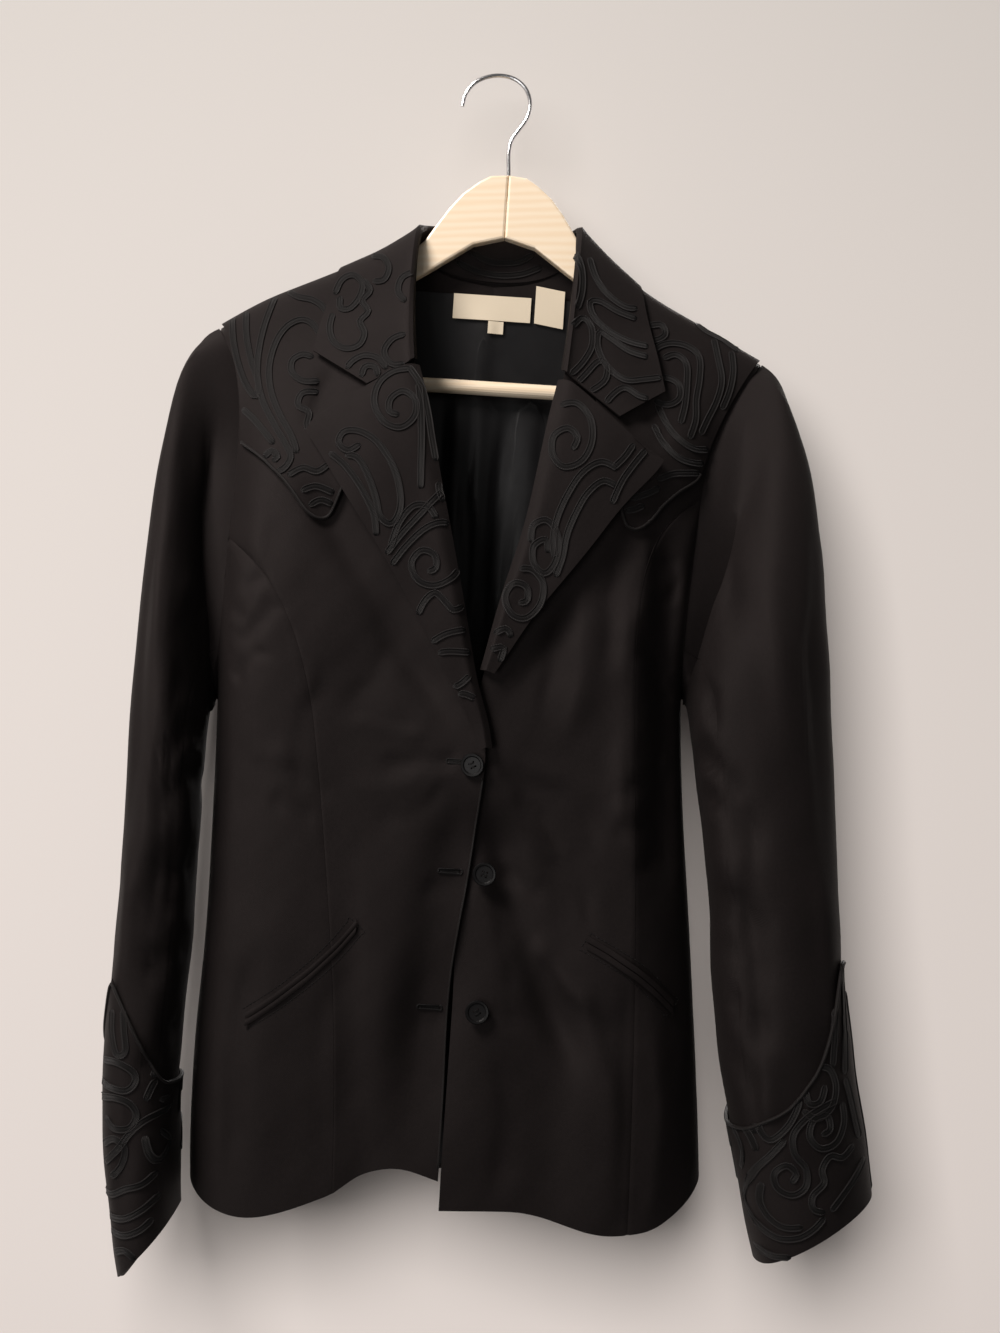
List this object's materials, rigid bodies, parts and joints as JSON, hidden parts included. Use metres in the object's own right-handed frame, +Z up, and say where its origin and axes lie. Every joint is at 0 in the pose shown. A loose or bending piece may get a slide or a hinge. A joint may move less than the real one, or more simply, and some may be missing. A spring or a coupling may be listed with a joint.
{
  "type": "embroidered blazer on a wooden hanger",
  "caption": "Tailored blazer with notched lapels, pointed yokes and pointed cuffs covered in braid scrollwork, hanging on a wooden hanger with a wire hook.",
  "frame": {"origin": "inside top of the hanger's wire hook, where it rests on what holds it", "axes": "+Z up, +Y towards the wall behind the garment, +X to the right as seen from the front (the wearer's left)"},
  "size_m": [0.5333, 0.1059, 0.8431],
  "materials": {
    "cloth": "matt suiting",
    "satin": "satin lining",
    "woven_label": "woven tape",
    "button": "semi-gloss",
    "wood": "clear lacquer",
    "wire": "polished wire"
  },
  "bodies": {
    "root": {"front_right": "cloth", "front_left": "cloth", "side_front_right": "cloth", "side_front_left": "cloth", "back_right": "cloth", "back_left": "cloth", "sleeve_top_right": "cloth", "sleeve_under_right": "cloth", "sleeve_top_left": "cloth", "sleeve_under_left": "cloth", "cuff_right": "cloth", "cuff_left": "cloth", "yoke_right": "cloth", "yoke_left": "cloth", "lapel_right": "cloth", "lapel_left": "cloth", "collar": "cloth", "pocket_welt_upper_right": "cloth", "pocket_welt_lower_right": "cloth", "pocket_welt_upper_left": "cloth", "pocket_welt_lower_left": "cloth", "lining_back": "satin", "neck_label": "woven_label", "size_tab": "woven_label", "care_label": "woven_label", "button_1": "button", "button_2": "button", "button_3": "button", "hanger_arm_right": "wood", "hanger_arm_left": "wood", "hanger_bar": "wood", "hanger_hook": "wire"}
  },
  "joints": []
}
